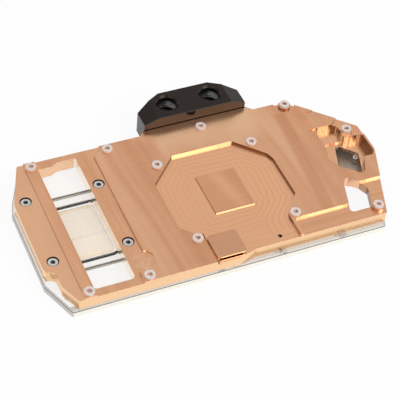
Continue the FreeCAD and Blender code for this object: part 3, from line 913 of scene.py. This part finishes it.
@dataclass(frozen=True)
class DarkSheet:
    """Dark sheet behind the upper right opening, with painted light that brightens it towards the near side."""

    near: Colour = (0.95, 0.82, 0.70)
    middle: Colour = (0.48, 0.36, 0.29)
    far: Colour = (0.17, 0.125, 0.10)
    streak: Colour = (0.13, 0.10, 0.085)

    def build(self) -> bpy.types.Material:
        """Makes the material.

        Returns:
            The material.
        """
        g = Graph("dark_sheet")
        x, y, _ = g.place()
        fine = g.noise(1.0, 2.0, g.vector(x * 1500.0, y * 60.0, 0.0))
        # painted light towards the near side, painted shade towards the far side
        colour = g.layers(self.near, (
            (y.ramp(-5 * MM, 7 * MM), self.middle),
            (y.ramp(6 * MM, 15 * MM), self.far),
            (fine.ramp(0.4, 0.8) * 0.12, self.streak)))
        return g.surface({"Base Color": colour, "Metallic": 0.7, "Roughness": 0.26 + fine * 0.04,
                          "Normal": g.bump(fine, 0.03, 0.02 * MM)})


class Finish(Enum):
    """Every finish of the block, with the look that makes it."""

    COPPER = MilledCopper()
    CLEAR = ClearAcrylic()
    BLACK = GlossBlack()
    PORT_THREAD = ThreadBlack()
    BOARD_THREAD = ThreadCopper()
    NYLON = WhiteNylon()
    STEEL = StainlessSteel()
    RUBBER = CordRubber()
    CREAM = CreamSheet()
    DARK = DarkSheet()


Materials = dict[Finish, bpy.types.Material]
Wears = tuple[tuple[Finish, tuple[str, ...]], ...]


class Assembly:
    """A sub-assembly of the block, with its nodes by finish."""

    wears: Wears

    def dress(self, nodes: Nodes, materials: Materials) -> None:
        """Gives the nodes their materials.

        Args:
            nodes: The frame's nodes.
            materials: The block's materials.
        """
        for finish, names in self.wears:
            for name in names:
                mesh = nodes[name].data
                mesh.materials.clear()
                mesh.materials.append(materials[finish])
                LOG.info("dressed %s in %s", name, materials[finish].name)


class GeometryTree:
    """A Geometry Nodes tree with named inputs, turned into a plain mesh."""

    def __init__(self, name: str, inputs: dict[str, tuple[str, Any]]) -> None:
        """Makes the tree's interface.

        Args:
            name: The tree's name.
            inputs: Each input's socket type and default value.
        """
        self.tree = bpy.data.node_groups.new(name, "GeometryNodeTree")
        face = self.tree.interface
        face.new_socket("Geometry", in_out="OUTPUT", socket_type="NodeSocketGeometry")
        self.ids: dict[str, str] = {}
        for label, (kind, value) in inputs.items():
            item = face.new_socket(label, in_out="INPUT", socket_type=kind)
            if kind != "NodeSocketMaterial":
                item.default_value = value
            self.ids[label] = item.identifier
        self.inputs = self.tree.nodes.new("NodeGroupInput")
        self.outputs = self.tree.nodes.new("NodeGroupOutput")

    def node(self, kind: str, settings: dict[str, Any], values: dict[Any, Any]) -> bpy.types.Node:
        """Adds a node.

        Args:
            kind: The node's type.
            settings: Its own properties.
            values: Values or output sockets for its inputs.

        Returns:
            The node.
        """
        made = self.tree.nodes.new(kind)
        for name, value in settings.items():
            setattr(made, name, value)
        for key, value in values.items():
            if isinstance(value, bpy.types.NodeSocket):
                self.tree.links.new(value, made.inputs[key])
            else:
                made.inputs[key].default_value = value
        return made

    def given(self, label: str) -> bpy.types.NodeSocket:
        """The output of the tree's named input."""
        return self.inputs.outputs[label]

    def end(self, geometry: bpy.types.NodeSocket) -> None:
        """Ends the tree in Realize Instances and Set Material.

        Args:
            geometry: What the tree has made.
        """
        real = self.node("GeometryNodeRealizeInstances", {}, {0: geometry})
        dressed = self.node("GeometryNodeSetMaterial", {}, {0: real.outputs[0], 2: self.given("Material")})
        self.tree.links.new(dressed.outputs[0], self.outputs.inputs[0])

    def mesh(self, name: str, values: dict[str, Any]) -> bpy.types.Mesh:
        """Runs the tree.

        Args:
            name: The mesh's name.
            values: The inputs' values.

        Returns:
            A plain mesh.
        """
        holder = bpy.data.objects.new(name + "_holder", bpy.data.meshes.new(name + "_seed"))
        bpy.context.scene.collection.objects.link(holder)
        modifier = holder.modifiers.new("tree", "NODES")
        modifier.node_group = self.tree
        for label, value in values.items():
            modifier[self.ids[label]] = value
        graph = bpy.context.evaluated_depsgraph_get()
        made = bpy.data.meshes.new_from_object(holder.evaluated_get(graph), depsgraph=graph)
        made.name = name
        holder.modifiers.remove(modifier)
        bpy.data.objects.remove(holder)
        return made


def thread_tree() -> GeometryTree:
    """Makes the tree of a screw thread: a ridge of triangular section along a helix.

    Returns:
        The tree.
    """
    tree = GeometryTree("thread_ridge", {
        "Radius": ("NodeSocketFloat", 1.0), "Turns": ("NodeSocketFloat", 4.0), "Length": ("NodeSocketFloat", 1.0),
        "Ridge": ("NodeSocketFloat", 0.1), "Steps": ("NodeSocketInt", 32), "Material": ("NodeSocketMaterial", None)})
    helix = tree.node("GeometryNodeCurveSpiral", {}, {
        "Resolution": tree.given("Steps"), "Rotations": tree.given("Turns"), "Start Radius": tree.given("Radius"),
        "End Radius": tree.given("Radius"), "Height": tree.given("Length")})
    section = tree.node("GeometryNodeCurvePrimitiveCircle", {"mode": "RADIUS"}, {
        "Resolution": 3, "Radius": tree.given("Ridge")})
    ridge = tree.node("GeometryNodeCurveToMesh", {}, {0: helix.outputs[0], 1: section.outputs[0], "Fill Caps": True})
    tree.end(ridge.outputs[0])
    return tree


def knurl_tree() -> GeometryTree:
    """Makes the tree of the knurl round a screw head: upright ridges on a circle.

    Returns:
        The tree.
    """
    tree = GeometryTree("head_knurl", {
        "Radius": ("NodeSocketFloat", 1.0), "Count": ("NodeSocketInt", 40), "Height": ("NodeSocketFloat", 1.0),
        "Ridge": ("NodeSocketFloat", 0.1), "Material": ("NodeSocketMaterial", None)})
    ring = tree.node("GeometryNodeMeshCircle", {}, {"Vertices": tree.given("Count"), "Radius": tree.given("Radius")})
    bar = tree.node("GeometryNodeMeshCylinder", {}, {
        "Vertices": 4, "Side Segments": 1, "Fill Segments": 1, "Radius": tree.given("Ridge"),
        "Depth": tree.given("Height")})
    spread = tree.node("GeometryNodeInstanceOnPoints", {}, {0: ring.outputs[0], 2: bar.outputs[0]})
    tree.end(spread.outputs[0])
    return tree


def joined(name: str, mesh: bpy.types.Mesh, places: Sequence[Triple], material: bpy.types.Material) -> bpy.types.Object:
    """Copies of one mesh as one piece on the block.

    Args:
        name: The piece's name.
        mesh: The mesh to repeat.
        places: Where each copy goes, in millimetres.
        material: The finish.

    Returns:
        The piece.
    """
    points: list[Vector] = []
    faces: list[list[int]] = []
    for place in places:
        first = len(points)
        move = Matrix.Translation([step * MM for step in place])
        points += [move @ vertex.co for vertex in mesh.vertices]
        faces += [[first + i for i in polygon.vertices] for polygon in mesh.polygons]
    made = bpy.data.meshes.new(name)
    made.from_pydata([tuple(point) for point in points], [], faces)
    made.materials.append(material)
    piece = bpy.data.objects.new(name, made)
    bpy.context.scene.collection.objects.link(piece)
    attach(piece, "root")
    LOG.info("made %s with %d copies", name, len(places))
    return piece


@dataclass(frozen=True)
class Thread:
    """The thread of some equal holes; sizes are in millimetres."""

    radius: float
    pitch: float
    turns: float
    ridge: float
    steps: int
    floor: float

    def fill(self, name: str, holes: Holes, tree: GeometryTree, material: bpy.types.Material, slot: str) -> None:
        """Makes the threads as one piece.

        Args:
            name: The piece's name.
            holes: The middle of each hole.
            tree: The thread tree.
            material: The finish.
            slot: The record's material slot; not used.
        """
        mesh = tree.mesh(name + "_one", {
            "Radius": self.radius * MM, "Turns": self.turns, "Steps": self.steps, "Ridge": self.ridge * MM,
            "Length": self.turns * self.pitch * MM, "Material": material})
        joined(name, mesh, [(x, y, self.floor) for x, y in holes], material)


@dataclass
class ColdPlate(Assembly):
    """The copper plate and the threads of its board holes; places are in millimetres."""

    wears: Wears = ((Finish.COPPER, ("cold_plate",)),)
    holes: Holes = (
        (-29.2, -29.2), (-29.2, 29.2), (29.2, -29.2), (29.2, 29.2), (-96.15, 50.2), (-51.1, 50.2), (6.5, 50.2),
        (-96.15, -44.4), (-62.85, -44.4), (61.2, 51.8), (86.8, 21.0), (75.7, -39.3))
    thread: Thread = Thread(radius=1.27, pitch=0.5, turns=7.0, ridge=0.16, steps=20, floor=8.6)

    def build(self, tree: GeometryTree, materials: Materials) -> None:
        """Makes the threads in the board holes."""
        self.thread.fill("board_hole_threads", self.holes, tree, materials[Finish.BOARD_THREAD], "copper")


@dataclass
class ClearCover(Assembly):
    """The clear cover, its seal and the steel plate over the fins."""

    wears: Wears = (
        (Finish.CLEAR, ("clear_cover",)), (Finish.RUBBER, ("chamber_seal",)), (Finish.STEEL, ("jet_plate",)))


@dataclass
class BridgeWindow(Assembly):
    """What shows in the window: clear block, seal, panel and four screws; sizes are in millimetres."""

    wears: Wears = (
        (Finish.CLEAR, ("bridge_block",)), (Finish.RUBBER, ("bridge_seal",)), (Finish.CREAM, ("bridge_panel",)),
        (Finish.STEEL, ("bridge_screws",)))
    centre: tuple[float, float] = WINDOW_CENTRE
    pitch: tuple[float, float] = WINDOW_SCREW_PITCH
    seat_z: float = 8.5
    knurl_radius: float = 2.72
    knurl_height: float = 2.0
    knurl_ridge: float = 0.13
    knurl_count: int = 44
    seat_gap: float = 0.1

    def build(self, tree: GeometryTree, materials: Materials) -> None:
        """Makes the knurl round the screw heads.

        Args:
            tree: The knurl tree.
            materials: The block's materials.
        """
        steel = materials[Finish.STEEL]
        mesh = tree.mesh("head_knurl", {
            "Radius": self.knurl_radius * MM, "Count": self.knurl_count, "Height": self.knurl_height * MM,
            "Ridge": self.knurl_ridge * MM, "Material": steel})
        middle_z = self.seat_z + self.knurl_height / 2 + self.seat_gap
        places = [(self.centre[0] + side * self.pitch[0] / 2, self.centre[1] + end * self.pitch[1] / 2, middle_z)
                  for side in (-1, 1) for end in (-1, 1)]
        joined("bridge_screw_knurl", mesh, places, steel)


@dataclass
class PortTerminal(Assembly):
    """The black terminal with its seals, screws and two threaded ports; places are in millimetres."""

    wears: Wears = (
        (Finish.BLACK, ("terminal_block",)), (Finish.RUBBER, ("inlet_seal", "outlet_seal")),
        (Finish.STEEL, ("terminal_screws",)))
    ports: Holes = ((-7.3, 68.7), (19.7, 68.7))
    thread: Thread = Thread(radius=5.84, pitch=1.337, turns=5.4, ridge=0.68, steps=48, floor=10.9)

    def build(self, tree: GeometryTree, materials: Materials) -> None:
        """Makes the threads in the ports."""
        self.thread.fill("port_threads", self.ports, tree, materials[Finish.PORT_THREAD], "terminal_black")


@dataclass
class BoardWashers(Assembly):
    """The twelve nylon washers on the copper's bosses."""

    wears: Wears = ((Finish.NYLON, ("gpu_washers", "far_washers", "near_washers", "right_washers")),)


@dataclass
class CoverFasteners(Assembly):
    """The screws that hold the cover to the copper."""

    wears: Wears = ((Finish.STEEL, (
        "near_cover_screws", "far_cover_screws", "left_cover_screws", "right_cover_screws")),)


@dataclass
class CornerInsert(Assembly):
    """The dark plate and the small post behind the upper right opening."""

    wears: Wears = ((Finish.DARK, ("insert_plate",)), (Finish.NYLON, ("insert_post",)))


@dataclass(frozen=True)
class SoftLamp:
    """A square lamp that points at the origin; place and size are in metres, power in watts."""

    place: Triple
    size: float
    power: float

    def build(self, name: str) -> None:
        """Makes the lamp.

        Args:
            name: Its name.
        """
        data = bpy.data.lights.new(name, "AREA")
        data.size = self.size
        data.energy = self.power
        lamp = bpy.data.objects.new(name, data)
        lamp.location = self.place
        lamp.rotation_euler = (-Vector(self.place)).to_track_quat("-Z", "Y").to_euler()
        bpy.context.scene.collection.objects.link(lamp)


@dataclass
class Studio:
    """Camera, floor and soft light of the photograph, in metres and degrees."""

    camera_place: Triple = (-0.256234, -0.456907, 0.548335)
    camera_turn: Triple = (43.577, -4.374, -23.238)
    lens: float = 121.665
    sensor: float = 36.0
    floor_size: float = 6.0
    floor_drop: float = 0.05 * MM
    floor_tint: float = 0.9
    shadow_share: float = 0.09
    sky: tuple[tuple[float, Colour], ...] = (
        (0.0, (1.0, 1.0, 1.0)), (0.6, (0.74, 0.74, 0.74)), (1.0, (0.62, 0.62, 0.62)))
    lamps: tuple[SoftLamp, ...] = (SoftLamp((0.55, -0.75, 0.95), 0.9, 7.0), SoftLamp((-0.9, -0.6, 1.2), 1.0, 2.0))

    def camera(self) -> None:
        """Makes the camera at the photograph's place."""
        data = bpy.data.cameras.new("camera")
        data.sensor_width = self.sensor
        data.lens = self.lens
        data.clip_start, data.clip_end = 0.01, 50.0
        made = bpy.data.objects.new("camera", data)
        made.location = self.camera_place
        made.rotation_euler = [math.radians(angle) for angle in self.camera_turn]
        bpy.context.scene.collection.objects.link(made)
        bpy.context.scene.camera = made

    def floor(self) -> None:
        """Makes the pale floor, white to the camera and in mirrors apart from a faint shadow."""
        half = self.floor_size / 2
        mesh = bpy.data.meshes.new("floor")
        mesh.from_pydata([(-half, -half, 0), (half, -half, 0), (half, half, 0), (-half, half, 0)], [], [(0, 1, 2, 3)])
        made = bpy.data.objects.new("floor", mesh)
        made.location.z = -self.floor_drop
        bpy.context.scene.collection.objects.link(made)
        g = Graph("floor_white")
        camera, gloss, clear = (g.node("ShaderNodeLightPath", {}, {}, "Is %s Ray" % ray)
                                for ray in ("Camera", "Glossy", "Transmission"))
        seen = (camera + gloss + clear).smallest(1.0)
        tint = (self.floor_tint, self.floor_tint, self.floor_tint, 1.0)
        matte = g.node("ShaderNodeBsdfDiffuse", {}, {"Color": tint})
        glow = g.node("ShaderNodeEmission", {}, {"Color": WHITE, "Strength": 1.0})
        blend = g.node("ShaderNodeMixShader", {}, {0: seen * (1.0 - self.shadow_share), 1: matte, 2: glow})
        g.node("ShaderNodeOutputMaterial", {}, {"Surface": blend})
        mesh.materials.append(g.owner)

    def world(self) -> None:
        """Makes the world, white to the camera and greyer overhead for what the block mirrors."""
        world = bpy.data.worlds.new("studio")
        bpy.context.scene.world = world
        g = Graph("studio", world)
        _, _, height = g.parts(g.node("ShaderNodeTexCoord", {}, {}, "Generated"))
        sky = g.node("ShaderNodeValToRGB", {"stops": self.sky}, {0: height})
        mirrored = g.node("ShaderNodeBackground", {}, {"Color": sky, "Strength": 1.0})
        plain = g.node("ShaderNodeBackground", {}, {"Color": WHITE, "Strength": 1.0})
        camera = g.node("ShaderNodeLightPath", {}, {}, "Is Camera Ray")
        blend = g.node("ShaderNodeMixShader", {}, {0: camera, 1: mirrored, 2: plain})
        g.node("ShaderNodeOutputWorld", {}, {0: blend})

    def build(self) -> None:
        """Makes the whole studio."""
        self.camera()
        self.floor()
        self.world()
        for i, lamp in enumerate(self.lamps):
            lamp.build("soft_lamp_%d" % i)
        bpy.context.scene.view_settings.view_transform = "Standard"


def main() -> None:
    """Dresses the block and sets the scene."""
    logging.basicConfig(level=logging.INFO)
    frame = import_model()
    nodes = frame["nodes"]
    materials = {finish: finish.value.build() for finish in Finish}
    threads, knurl = thread_tree(), knurl_tree()
    plate, terminal, window = ColdPlate(), PortTerminal(), BridgeWindow()
    for assembly in (plate, ClearCover(), window, terminal, BoardWashers(), CoverFasteners(), CornerInsert()):
        assembly.dress(nodes, materials)
        LOG.info("finished %s", type(assembly).__name__)
    plate.build(threads, materials)
    terminal.build(threads, materials)
    window.build(knurl, materials)
    Studio().build()


if __name__ == "__main__":
    main()
